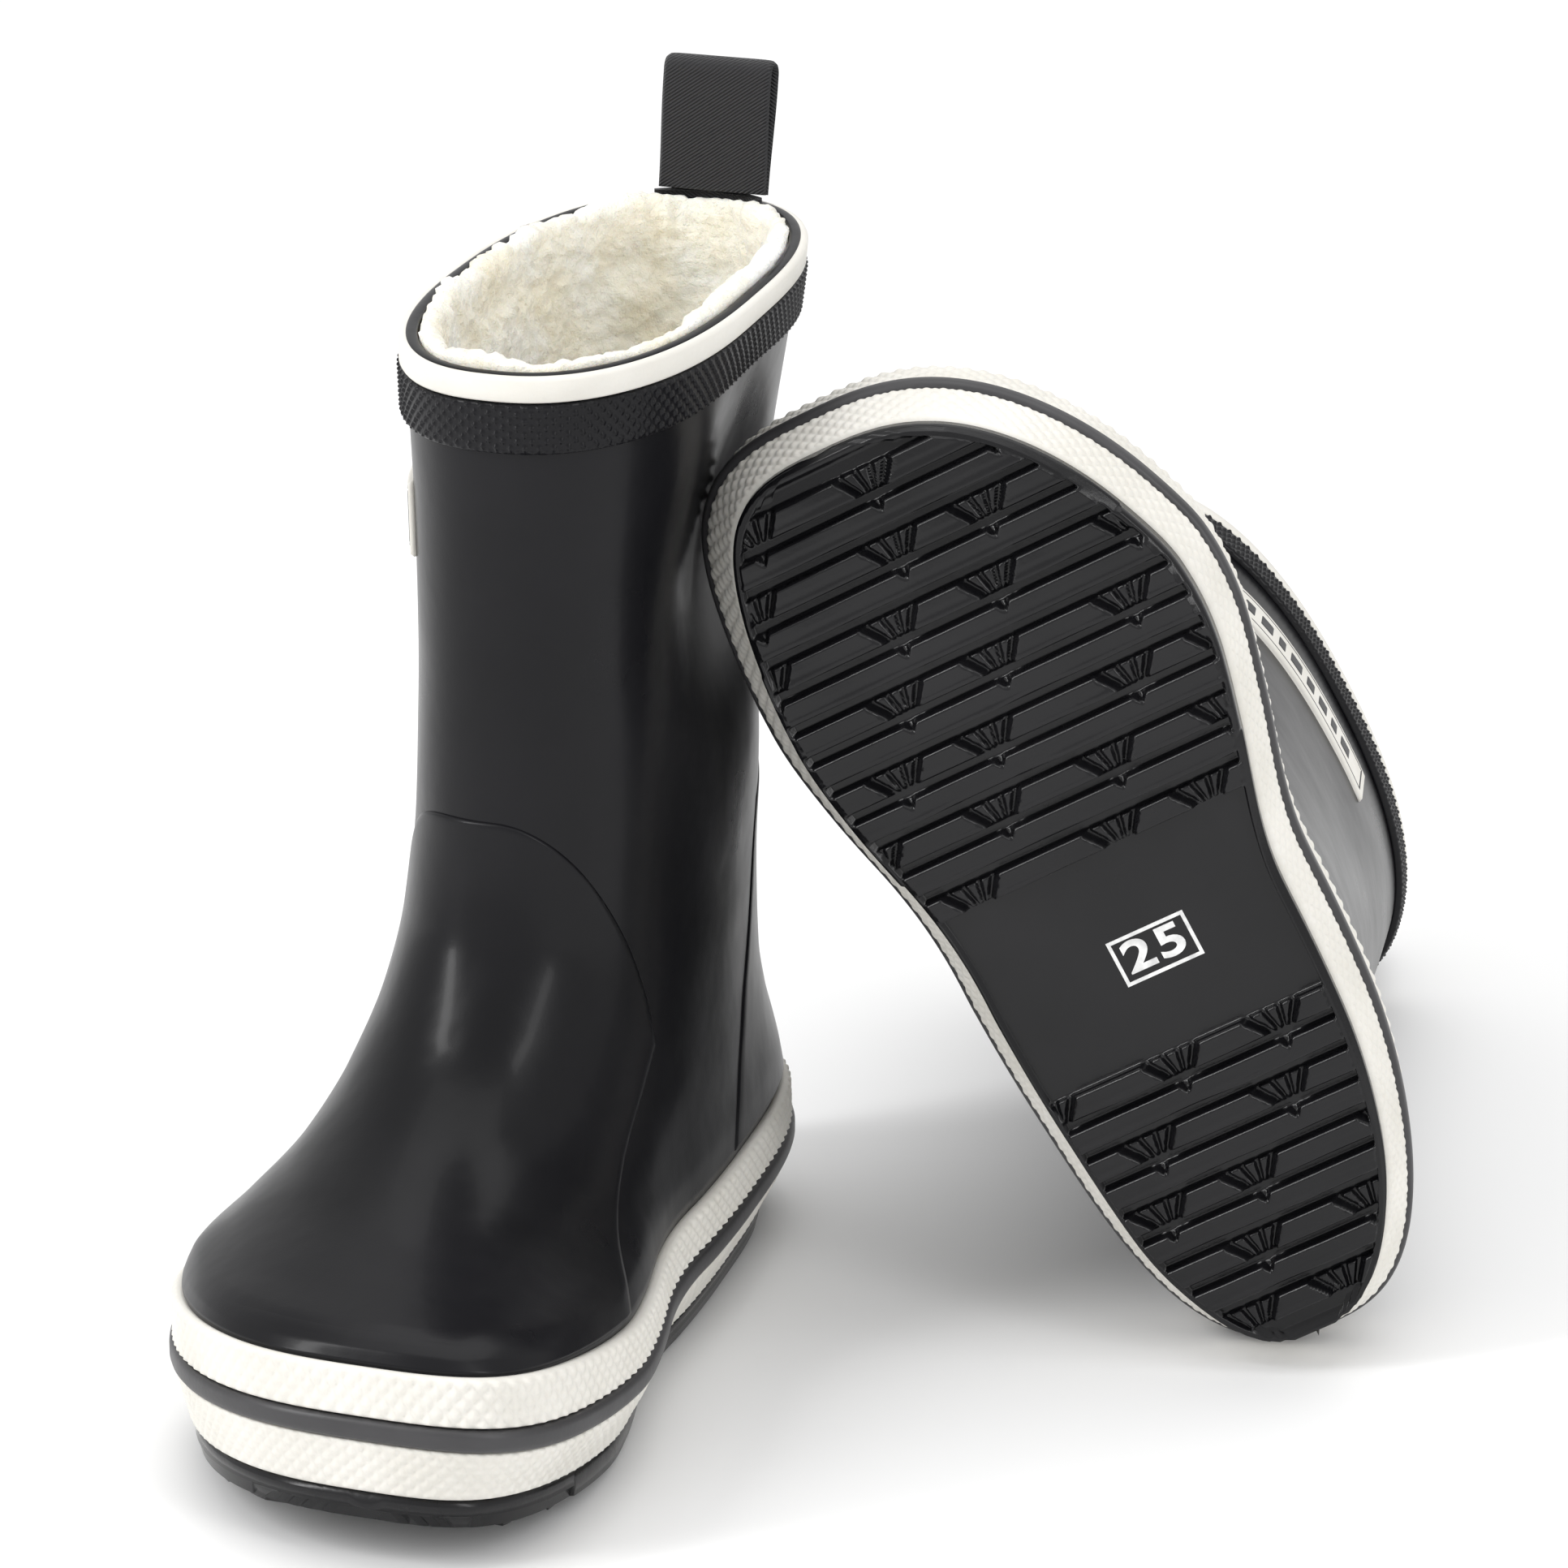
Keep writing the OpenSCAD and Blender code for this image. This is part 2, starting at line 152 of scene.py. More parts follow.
def even_angles(form, count):
    """Angles that divide the section's outline into equal lengths, and its length."""
    a = np.linspace(0, 2 * np.pi, 4001)
    p = around(form, 0, a, 0, 0)[:, :2]
    run = np.r_[0, np.cumsum(np.linalg.norm(np.diff(p, axis=0), axis=1))]
    return np.interp(np.arange(count) / count * run[-1], run, a), run[-1]


def lie_down(p):
    """The lying boot's place: mirror in x, turn about X, Y and Z, and move."""
    cx, cy, cz = np.cos(LYING_TURN)
    sx, sy, sz = np.sin(LYING_TURN)
    turn_x = np.array([[1, 0, 0], [0, cx, -sx], [0, sx, cx]])
    turn_y = np.array([[cy, 0, sy], [0, 1, 0], [-sy, 0, cy]])
    turn_z = np.array([[cz, -sz, 0], [sz, cz, 0], [0, 0, 1]])
    return (p * [-1, 1, 1]) @ (turn_z @ turn_y @ turn_x).T + LYING_PLACE


def build(name, side, points, faces, uv=None):
    """Mesh object from points in mm and faces as index rows padded with -1, set down on
    its side of the pair and smooth shaded; uv is one pair for each face corner."""
    p = points + STANDING_PLACE if side == "right" else lie_down(points)
    size = (faces >= 0).sum(1)
    mesh = bpy.data.meshes.new(name)
    if side == "left":
        flipped = faces[:, ::-1]
        keep = flipped >= 0
        loops = flipped[keep]
        if uv is not None:
            uv = uv[:, ::-1]
    else:
        keep = faces >= 0
        loops = faces[keep]
    mesh.vertices.add(len(p))
    mesh.vertices.foreach_set("co", (p * MM).astype(np.float32).ravel())
    mesh.loops.add(len(loops))
    mesh.loops.foreach_set("vertex_index", loops.astype(np.int32))
    mesh.polygons.add(len(faces))
    mesh.polygons.foreach_set("loop_start", np.r_[0, np.cumsum(size)[:-1]].astype(np.int32))
    mesh.polygons.foreach_set("use_smooth", np.ones(len(faces), bool))
    mesh.update(calc_edges=True)
    if uv is not None:
        layer = mesh.uv_layers.new(name="run")
        layer.data.foreach_set("uv", uv[keep].astype(np.float32).ravel())
    mesh.validate()
    thing = bpy.data.objects.new(f"{side}_{name}", mesh)
    mesh.name = thing.name
    bpy.context.scene.collection.objects.link(thing)
    return thing


def skin(name, side, grid, rows_closed=False, run=None):
    """Closed surface over a grid of rows (up the outside) and columns (round the boot).
    Columns always close on themselves; rows close too, or each end row gets a pole in
    its middle. run gives the columns' and rows' places along the surface for its uv."""
    rows, cols = grid.shape[:2]
    points = grid.reshape(-1, 3)
    r = np.arange(rows if rows_closed else rows - 1)[:, None]
    c = np.arange(cols)[None, :]
    r1, c1 = (r + 1) % rows, (c + 1) % cols
    quads = np.stack(np.broadcast_arrays(r * cols + c, r1 * cols + c, r1 * cols + c1,
                                         r * cols + c1), -1).reshape(-1, 4)
    faces = quads
    if not rows_closed:
        n = len(points)
        points = np.vstack([points, grid[0].mean(0), grid[-1].mean(0)])
        i = np.arange(cols)
        j = (i + 1) % cols
        none = np.full(cols, -1)
        low = np.stack([np.full(cols, n), i, j, none], -1)
        top = (rows - 1) * cols
        high = np.stack([top + i, np.full(cols, n + 1), top + j, none], -1)
        faces = np.vstack([quads, low, high])
    uv = None
    if run is not None:
        u, v = run
        uv = np.stack([np.stack(np.broadcast_arrays(u[c], u[c], u[c + 1], u[c + 1]), -1)
                       + 0 * r[..., None],
                       np.stack(np.broadcast_arrays(v[r], v[r + 1], v[r + 1], v[r]), -1)
                       + 0 * c[..., None]], -1).reshape(-1, 4, 2)
        if not rows_closed:
            cap = np.zeros((cols, 4, 2))
            cap[..., 0] = u[:-1, None]
            uv = np.vstack([uv, cap + [0, v[0]], cap + [0, v[-1]]])
    return build(name, side, points, faces, uv)


def value_noise(p, size, seed):
    """Smooth noise from -1 to 1: random values on a cubic lattice of the given spacing,
    blended between the eight corners with a smooth step."""
    table = np.random.default_rng(seed).random((32, 32, 32)) * 2 - 1
    q = p / size + 400
    k = np.floor(q).astype(int)
    f = ease(q - k)
    total = 0
    for dx in (0, 1):
        for dy in (0, 1):
            for dz in (0, 1):
                part = table[(k[..., 0] + dx) % 32, (k[..., 1] + dy) % 32,
                             (k[..., 2] + dz) % 32]
                total = total + part * np.abs(1 - dx - f[..., 0]) * np.abs(
                    1 - dy - f[..., 1]) * np.abs(1 - dz - f[..., 2])
    return total


def put_on(thing, side, node, material):
    """Gives a piece its material, lets it ride on its boot and stand for a node."""
    thing.data.materials.append(material)
    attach(thing, f"{side}_boot")
    if node:
        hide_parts(f"{side}_{node}")
    return thing


def new_material(name, color, roughness):
    """Principled material; returns it with its node tree and its shader."""
    material = bpy.data.materials.new(name)
    material.use_nodes = True
    tree = material.node_tree
    shader = tree.nodes["Principled BSDF"]
    shader.inputs["Base Color"].default_value = (*color, 1)
    shader.inputs["Roughness"].default_value = roughness
    return material, tree, shader


def add(tree, kind, links=(), **values):
    """Adds a node, sets its named attributes and sockets, and links (socket, source)."""
    node = tree.nodes.new(kind)
    for key, value in values.items():
        if hasattr(node, key):
            setattr(node, key, value)
        else:
            node.inputs[key.replace("_", " ")].default_value = value
    for socket, source in links:
        tree.links.new(source, node.inputs[socket])
    return node


def cloudy(tree, scale, detail, low, high, socket):
    """Noise in object coordinates, carried to a range of values on a shader socket."""
    place = add(tree, "ShaderNodeTexCoord")
    noise = add(tree, "ShaderNodeTexNoise", [("Vector", place.outputs["Object"])],
                Scale=scale, Detail=detail)
    span = add(tree, "ShaderNodeMapRange", [("Value", noise.outputs["Fac"])])
    span.inputs["From Min"].default_value = 0.3
    span.inputs["From Max"].default_value = 0.7
    span.inputs["To Min"].default_value = low
    span.inputs["To Max"].default_value = high
    tree.links.new(span.outputs["Result"], socket)


def grain(tree, shader, scale, detail, depth, before=None):
    """Bump from noise in object coordinates, on top of an earlier bump if given."""
    place = add(tree, "ShaderNodeTexCoord")
    noise = add(tree, "ShaderNodeTexNoise", [("Vector", place.outputs["Object"])],
                Scale=scale, Detail=detail)
    bump = add(tree, "ShaderNodeBump", [("Height", noise.outputs["Fac"])])
    bump.inputs["Distance"].default_value = depth
    bump.inputs["Strength"].default_value = 1
    if before:
        tree.links.new(before.outputs["Normal"], bump.inputs["Normal"])
    tree.links.new(bump.outputs["Normal"], shader.inputs["Normal"])
    return bump


def mottled(tree, shader, scale, dark, light):
    """Base colour that drifts between two close tones with soft noise."""
    place = add(tree, "ShaderNodeTexCoord")
    noise = add(tree, "ShaderNodeTexNoise", [("Vector", place.outputs["Object"])],
                Scale=scale, Detail=4)
    ramp = add(tree, "ShaderNodeValToRGB", [("Fac", noise.outputs["Fac"])])
    ramp.color_ramp.elements[0].position = 0.35
    ramp.color_ramp.elements[0].color = (*dark, 1)
    ramp.color_ramp.elements[1].position = 0.65
    ramp.color_ramp.elements[1].color = (*light, 1)
    tree.links.new(ramp.outputs["Color"], shader.inputs["Base Color"])


black_rubber, tree, shader = new_material("black_rubber", (0.008, 0.008, 0.0095), 0.3)
mottled(tree, shader, 22, (0.004, 0.004, 0.005), (0.008, 0.0078, 0.0095))
cloudy(tree, 35, 5, 0.26, 0.36, shader.inputs["Roughness"])
shader.inputs["Specular IOR Level"].default_value = 0.17
bump = grain(tree, shader, 45, 3, 0.0004)
grain(tree, shader, 2500, 2, 0.00001, bump)
shader.inputs["Coat Weight"].default_value = 0.06
shader.inputs["Coat Roughness"].default_value = 0.12

body_angles, _ = even_angles(station(4), 340)


def sink(z):
    """Share of a layer's thickness by which it drops: all of it over the foot, none of it
    up the shaft, so that sloping walls keep their thickness."""
    return 1 - ease((z - 90) / 50)


def wall_rows(z, g, drop, pressed, a):
    """Rows of points round the boot at heights z, g outside the shell's face."""
    z = np.asarray(z, float)[:, None]
    g = np.asarray(g, float)
    g = g[:, None] if g.ndim else g
    return around(tuple(m for m in shaft(z)), z - drop * sink(z), a[None, :], g, pressed)


def floor_rows(z, g, pressed, a):
    """Rows that run from the middle of the foot's bed out to its outline, at height z."""
    edge_row = around(SOLE, z, a, g, pressed)
    middle = edge_row * [0, 0.9, 0] + [-2, 0, 0]
    share = np.array([0.02, 0.35, 0.7, 0.93, 0.985])[:, None, None]
    rows = middle + (edge_row - middle) * share
    rows[..., 2] = z + toe_rise(rows[..., 1])
    return rows


def shell_grid(pressed, a):
    """Bottom, outside wall, rounded cut edge at the rim, inside wall and inner bottom."""
    z = np.r_[np.arange(28, 70, 0.9), np.arange(70, 178.6, 1.3)]
    cut = np.linspace(0, np.pi, 7)
    outer = [floor_rows(BED, -BED_INSET - 0.2, pressed, a),
             around(SOLE, np.array([BED + 0.2, 18, 23])[:, None], a, -BED_INSET, pressed),
             wall_rows(z, 0, 0, pressed, a)]
    lip = around(tuple(np.array(m) for m in shaft(RIM)),
                 RIM - 0.35 + 0.35 * np.sin(cut)[:, None], a,
                 (-1 + 1 * np.cos(cut))[:, None], pressed)
    inner_z = np.r_[np.arange(174, 28, -4), 28]
    inner = [wall_rows(inner_z, -SHELL_WALL, SHELL_WALL, pressed, a),
             around(SOLE, np.array([20, 16.1])[:, None], a, -BED_INSET - SHELL_WALL, pressed),
             floor_rows(BED + SHELL_WALL, -BED_INSET - 0.2 - SHELL_WALL, pressed, a)[::-1]]
    return np.concatenate(outer + [lip] + inner)


for side in ("right", "left"):
    pressed = side == "right"
    grid = shell_grid(pressed, body_angles)
    away = grid - [0, 30, 0]
    away[..., 2] = 0
    away /= np.linalg.norm(away, axis=-1, keepdims=True)
    shown = ease((grid[..., 2] - 30) / 12)[..., None]
    grid = grid + away * shown * 0.16 * value_noise(grid, 21, 5)[..., None]
    put_on(skin("rubber_shell", side, grid), side, "rubber_shell",
           black_rubber)

# ---------------------------------------------------------------------------------------
# Ankle overlay and heel counter: second layers of the same rubber, thinned at their edges
# and laid over the shell before curing, so that only their rolled-down edges show.
OVERLAY = 0.28


def laid_sheet(name, side, a_edges, top_of, low):
    """Sheet on the shell between two angles and from the side strips to a curved top
    edge: its thickness eases from nothing at the edge to full over 2 mm."""
    u = np.linspace(0, 1, 150)[None, :]
    v = np.r_[np.linspace(0, 0.04, 5), np.linspace(0.08, 0.9, 70), np.linspace(0.93, 1, 9)]
    v = v[:, None]
    half = (a_edges[1] - a_edges[0]) / 2
    middle = (a_edges[1] + a_edges[0]) / 2
    c = (2 * u - 1) * half
    top = top_of(c)
    z = low + (top - low) * v
    a = np.radians(middle + c * (1 - 0.22 * (z - 28) / 60 * (middle == 0)))
    from_edge = np.minimum(np.minimum(u, 1 - u) * half * 2 * 0.5, (1 - v) * (top - low))
    g = 0.05 + OVERLAY * ease((from_edge + 0.1) / 1.3) ** 0.5
    out = around(shaft(z), z, a, g, side == "right")
    under = around(shaft(z), z, a, -0.9, side == "right")
    grid = np.concatenate([out, under[:, ::-1]], 1)
    return skin(name, side, grid)


def ankle_edge(c):
    """Top of the ankle overlay: level round the outer side, falling to the inner side."""
    return np.where(c > 0, 100 - 40 * (c / 70) ** 4, 100 - 42 * (c / 70) ** 2)


def counter_edge(c):
    """Top of the heel counter: highest at the back seam."""
    return 96 - 12 * (c / 76) ** 2


for side in ("right", "left"):
    put_on(laid_sheet("ankle_overlay", side, (110, 250), ankle_edge, 28.3), side,
           "ankle_overlay", black_rubber)
    put_on(laid_sheet("heel_counter", side, (-76, 76), counter_edge, 28.3), side,
           "heel_counter", black_rubber)

# ---------------------------------------------------------------------------------------
# Wool lining: ivory wool pile on a knitted back, 3 mm thick, glued in as a sock; the pile
# stands in clumps and tufts and has yellower patches.
wool_pile, tree, shader = new_material("wool_pile", (0.85, 0.81, 0.71), 0.95)
mottled(tree, shader, 55, (0.90, 0.84, 0.68), (0.97, 0.965, 0.93))
shader.inputs["Sheen Weight"].default_value = 0.5
shader.inputs["Sheen Roughness"].default_value = 0.5
shader.inputs["Specular IOR Level"].default_value = 0.15
shader.inputs["Subsurface Weight"].default_value = 0.3
shader.inputs["Subsurface Radius"].default_value = (0.004, 0.003, 0.002)
shader.inputs["Subsurface Scale"].default_value = 0.6
bump = grain(tree, shader, 900, 6, 0.0007)
grain(tree, shader, 3200, 3, 0.0002, bump)
lining_angles, _ = even_angles(station(9), 300)


def lining_grid(pressed, a):
    """Outside against the shell, rolled top edge, and inside wall down to the bed."""
    back = SHELL_WALL + LAYER_GAP
    deep = back + LINING_WALL
    z = np.r_[28:157:8, 157.0]
    tail = np.where(np.cos(a) > np.cos(np.radians(25)), 1.35, 0)
    edge_turn = np.linspace(0, np.pi, 8)[:, None]
    outer = [floor_rows(BED + back, -BED_INSET - 0.2 - back, pressed, a),
             around(SOLE, np.array([16.3, 20])[:, None], a, -BED_INSET - back, pressed),
             wall_rows(z, -back, back, pressed, a),
             around(shaft(np.array([159, 168])[:, None]), np.array([159, 168])[:, None], a,
                    -back - tail, pressed)]
    half = (LINING_WALL - tail) / 2
    lip = around(shaft(np.array([[RIM]])), RIM - 1.4 + 1.6 * np.sin(edge_turn), a,
                 -back - tail - half + half * np.cos(edge_turn), pressed)
    down = np.r_[np.arange(176.8, 90, -0.75), np.arange(90, 28, -1.5), 28]
    inner = [wall_rows(down, -deep, deep, pressed, a),
             around(SOLE, np.array([21, 19])[:, None], a, -BED_INSET - deep, pressed),
             floor_rows(BED + deep, -BED_INSET - 0.2 - deep, pressed, a)[::-1]]
    count = sum(len(o) for o in outer)
    grid = np.concatenate(outer + [lip] + inner)
    pile = np.zeros(grid.shape[:1])
    pile[count + 2:] = 1
    return grid, pile


def raise_pile(grid, pile, depth, seed):
    """Moves points along the surface's normal by clumpy noise of four sizes."""
    du = np.roll(grid, -1, 1) - np.roll(grid, 1, 1)
    dv = np.gradient(grid, axis=0)
    normal = np.cross(du, dv)
    normal /= np.linalg.norm(normal, axis=-1, keepdims=True) + 1e-9
    clump = np.abs(value_noise(grid, 3.2, seed))
    fluff = (0.55 * clump + 0.3 * value_noise(grid, 1.5, seed + 1)
             + 0.25 * value_noise(grid, 0.8, seed + 2))
    tuft = np.abs(value_noise(grid, 11, seed + 3))
    return grid + normal * (pile[:, None] * (depth * fluff + 1.6 * depth * tuft))[..., None]


for side in ("right", "left"):
    grid, pile = lining_grid(side == "right", lining_angles)
    grid = raise_pile(grid, pile, -1.4, 11)
    put_on(skin("wool_lining", side, grid), side, "wool_lining", wool_pile)

# ---------------------------------------------------------------------------------------
# Insole: a loose 4 mm sole of the same pile on felt, cut to the foot's bed.
for side in ("right", "left"):
    a = lining_angles
    low = BED + SHELL_WALL + LINING_WALL + 0.4
    g = -BED_INSET - SHELL_WALL - LINING_WALL - 0.65
    under = floor_rows(low, g - 0.2, 0, a)
    wall = around(SOLE, np.array([low + 0.2, low + 3])[:, None], a, g, 0)
    over = floor_rows(low + 3.8, g - 0.8, 0, a)[::-1]
    grid = np.concatenate([under, wall, over])
    pile = np.r_[np.zeros(len(under) + 1), np.ones(len(over) + 1)]
    grid = raise_pile(grid, pile, 0.25, 21)
    put_on(skin("insole", side, grid), side, "insole", wool_pile)

# ---------------------------------------------------------------------------------------
# Sole filler: sponge rubber between the foot's bed and the outsole, closed in all round.
sponge, tree, shader = new_material("filler_sponge", (0.5, 0.45, 0.36), 0.9)
mottled(tree, shader, 300, (0.42, 0.37, 0.29), (0.55, 0.5, 0.4))
grain(tree, shader, 900, 4, 0.0004)
for side in ("right", "left"):
    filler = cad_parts[f"{side}_sole_filler"]
    filler.data.materials.clear()
    filler.data.materials.append(sponge)

# ---------------------------------------------------------------------------------------
# Side strips: cream rubber tape with a pressed diamond pattern above and below, and a
# smooth dark grey ridge strip between them, wrapped round the foot and rolled on.
cream_rubber, tree, shader = new_material("cream_rubber", (0.8, 0.77, 0.69), 0.55)
mottled(tree, shader, 60, (0.70, 0.68, 0.625), (0.77, 0.75, 0.70))
cloudy(tree, 90, 4, 0.5, 0.65, shader.inputs["Roughness"])
grain(tree, shader, 1500, 4, 0.00006)
shader.inputs["Subsurface Weight"].default_value = 0.05
shader.inputs["Subsurface Radius"].default_value = (0.002, 0.0015, 0.001)
shader.inputs["Subsurface Scale"].default_value = 0.5
grey_rubber, tree, shader = new_material("grey_rubber", (0.06, 0.06, 0.064), 0.42)
mottled(tree, shader, 50, (0.033, 0.032, 0.034), (0.045, 0.044, 0.047))
cloudy(tree, 70, 4, 0.38, 0.5, shader.inputs["Roughness"])
grain(tree, shader, 900, 4, 0.00004)


def diamonds(u, v, pitch, rise_pitch):
    """Pressed pattern: rounded bumps on a lattice turned by an eighth of a circle, as the
    product of two waves along the lattice's diagonals, from 0 in the grooves to 1."""
    p = u / pitch + v / rise_pitch / 2
    q = u / pitch - v / rise_pitch / 2
    return (np.abs(np.sin(np.pi * p)) * np.abs(np.sin(np.pi * q))) ** 0.8


def tuck(a):
    """How much further the sole's lower edge is drawn in along the inner side and heel."""
    return 1.9 * ease(1.5 * np.sin(a)) + 1.2 * ease((np.cos(a) - 0.6) / 0.4)


def strip_grid(profile, count, bumps, pitch, depth):
    """A profile of heights and depths carried round the sole: rows of points, those with
    a mark above 0 raised by the diamond pattern."""
    a, length = even_angles(SOLE, count)
    length_pitch = length / round(length / pitch)
    u = np.arange(count) / count * length
    z, g, lift, mark = profile.T[:, :, None]
    g = g - tuck(a) * ease((15 - z) / 9.35)
    base = around(SOLE, z, a, g, 0)
    raised = g + mark * depth * bumps(u[None, :], z, length_pitch)
    y = base[..., 1]
    grid = around(SOLE, z, a, raised, 0)
    grid[..., 2] += lift * 1.6 * ease((-y - 30) / 50)
    return grid


def profile_of(corners, step):
    """Corners (height, outside, lift, mark) joined by straight runs cut into steps."""
    corners = np.array(corners, float)
    out = []
    for p, q in zip(corners, np.roll(corners, -1, 0)):
        n = max(1, int(np.hypot(*(q - p)[:2]) / step)) if p[3] and q[3] else 1
        out.append(p + (q - p) * (np.arange(n) / n)[:, None])
    return np.concatenate(out)


def knurl(u, z, pitch):
    """Diamonds 2.9 mm long and 2.8 mm high."""
    return diamonds(u, z, pitch, 1.4)


for side in ("right", "left"):
    upper = profile_of([(19.15, -1.5, 0, 0), (19.25, -0.95, 0, 0), (19.5, -0.8, 0, 1),
                        (25.5, -1.0, 1, 1), (25.95, -1.2, 1, 0), (26.2, -1.7, 1, 0),
                        (26.2, -4.0, 1, 0), (19.15, -4.0, 0, 0)], 0.36)
    grid = strip_grid(upper, 1500, knurl, 2.9, 0.45)
    put_on(skin("upper_foxing", side, grid, True), side, "upper_foxing",
           cream_rubber)
    lower = profile_of([(5.65, -4.0, 0, 0), (5.9, -3.5, 0, 0), (6.15, -3.3, 0, 1),
                        (14.6, -1.1, 0, 1), (14.9, -1.1, 0, 0), (15.0, -1.6, 0, 0),
                        (15.0, -4.4, 0, 0), (5.65, -7.0, 0, 0)], 0.36)
    grid = strip_grid(lower, 1500, knurl, 2.9, 0.4)
    put_on(skin("lower_foxing", side, grid, True), side, "lower_foxing",
           cream_rubber)
    ridge = profile_of([(15.15, -1.4, 0, 0), (15.25, -0.5, 0, 0), (15.7, -0.1, 0, 0),
                        (16.3, 0.08, 0, 0), (17.8, 0.08, 0, 0), (18.45, -0.1, 0, 0),
                        (18.85, -0.5, 0, 0), (19.0, -1.2, 0, 0), (19.0, -4, 0, 0),
                        (15.15, -4, 0, 0)], 1)
    grid = strip_grid(ridge, 600, knurl, 1.9, 0)
    put_on(skin("foxing_ridge", side, grid, True), side, "foxing_ridge",
           grey_rubber)

# ---------------------------------------------------------------------------------------
# Top band and top stripe: a black tape pressed with small studs, standing 1.75 mm proud of
# the shaft, and above it a smooth cream tape that ends at the cut edge of the shell.
STUD_PITCH = 2.3


def collar_grid(corners, count, step, depth, pressed):
    """A profile carried round the rim, studs on the rows that are marked."""
    a, length = even_angles(station(10), count)
    pitch = length / round(length / STUD_PITCH)
    u = np.arange(count) / count * length
    z, g, _, mark = profile_of(corners, step).T[:, :, None]
    p = u / pitch + z / STUD_PITCH
    q = u / pitch - z / STUD_PITCH
    stud = np.maximum(np.sin(np.pi * p) ** 2 * np.sin(np.pi * q) ** 2 - 0.25, 0) / 0.75
    return around(shaft(z), z, a, g + mark * depth * stud, pressed)


for side in ("right", "left"):
    pressed = side == "right"
    z1 = RIM - 4.4 - 0.35
    z0 = z1 - 8.8
    band = [(z0, 0.3, 0, 0), (z0 + 0.15, 1.0, 0, 0), (z0 + 0.5, 1.3, 0, 1),
            (z1 - 0.4, 1.3, 0, 1), (z1 - 0.1, 1.1, 0, 0), (z1, 0.7, 0, 0),
            (z1, -0.3, 0, 0), (z0, -0.3, 0, 0)]
    grid = collar_grid(band, 1500, 0.32, 0.45, pressed)
    put_on(skin("top_band", side, grid, True), side, "top_band",
           black_rubber)
    z1 = RIM - 0.2
    z0 = z1 - 4.4
    tape = [(z0, 0.5, 0, 0), (z0 + 0.15, 1.1, 0, 0), (z0 + 0.5, 1.3, 0, 0),
            (z1 - 0.7, 1.25, 0, 0), (z1 - 0.3, 1.0, 0, 0), (z1 - 0.05, 0.5, 0, 0),
            (z1, 0.0, 0, 0), (z1 - 0.2, -0.4, 0, 0), (z0, -0.4, 0, 0)]
    grid = collar_grid(tape, 500, 1, 0, pressed)
    put_on(skin("top_stripe", side, grid, True), side, "top_stripe",
           cream_rubber)

# ---------------------------------------------------------------------------------------
# Outsole: moulded black rubber, bars across the sole every 5.8 mm, smooth at the waist,
# the bars broken by small fans of slanted grooves that step sideways from row to row.
sole_rubber, tree, shader = new_material("sole_rubber", (0.009, 0.009, 0.0105), 0.26)
mottled(tree, shader, 30, (0.0035, 0.0035, 0.0043), (0.007, 0.0068, 0.008))
cloudy(tree, 40, 5, 0.18, 0.3, shader.inputs["Roughness"])
shader.inputs["Specular IOR Level"].default_value = 0.24
bump = grain(tree, shader, 160, 4, 0.0002)
grain(tree, shader, 1800, 2, 0.00002, bump)
shader.inputs["Coat Weight"].default_value = 0.2
shader.inputs["Coat Roughness"].default_value = 0.2
DEPTH = 2.6          # depth of the tread
EDGE = 3.9           # how far the outsole stands inside the sole's widest outline
PITCH = 5.8          # from one bar to the next
SOLE_TOP = 5.5
BARS = np.r_[-79 + PITCH * np.arange(13), 31.4 + PITCH * np.arange(9)]


def sole_edge(y, g, hand):
    """Sideways reach of the sole at y, read off its outline set g inside."""
    a = hand * np.linspace(np.pi, 0, 2000)
    outline = around(SOLE, 0, a, -g - tuck(a), 0)
    return np.interp(y, outline[:, 1], outline[:, 0])


def fan_cut(x, y):
    """Depth of the fans: four straight V grooves from one point, in a shallow hollow."""
    depth = np.zeros_like(x)
    rows = np.r_[BARS[:13:2] + 1.2, BARS[13::2] + 1.2]
    for k, fy in enumerate(rows):
        middle = float(sole_edge(fy, 6, 1) + sole_edge(fy, 6, -1)) / 2
        for j in range(-3, 4):
            fx = middle + 21 * j + 7 * (k % 3 - 1) + 4 + 2.5 * math.sin(5 * k + 3 * j)
            px, py = x - fx, y - fy
            if not ((np.abs(px) < 7) & (np.abs(py) < 6)).any():
                continue
            near = np.full_like(x, 9.0)
            for end in (-4.2, -1.5, 1.4, 4.3):
                tip = np.array([end, -3.6 + 0.12 * abs(end)])
                base = np.array([0.0, 3.4])
                line = tip - base
                t = np.clip(((px - base[0]) * line[0] + (py - base[1]) * line[1])
                            / (line @ line), 0, 1)
                near = np.minimum(near, np.hypot(px - base[0] - t * line[0],
                                                 py - base[1] - t * line[1])
                                  / (0.35 + 0.5 * t))
            inside = ease((4.6 - np.abs(px) * 1.0 - (py + 3.4) * 0.6) / 1.2) * ease(
                (py + 4.4) / 0.8)
            depth = np.maximum(depth, 2.1 * np.clip(1.35 - near, 0, 1) * (np.abs(py) < 5))
            depth = np.maximum(depth, 1.2 * inside)
    return depth


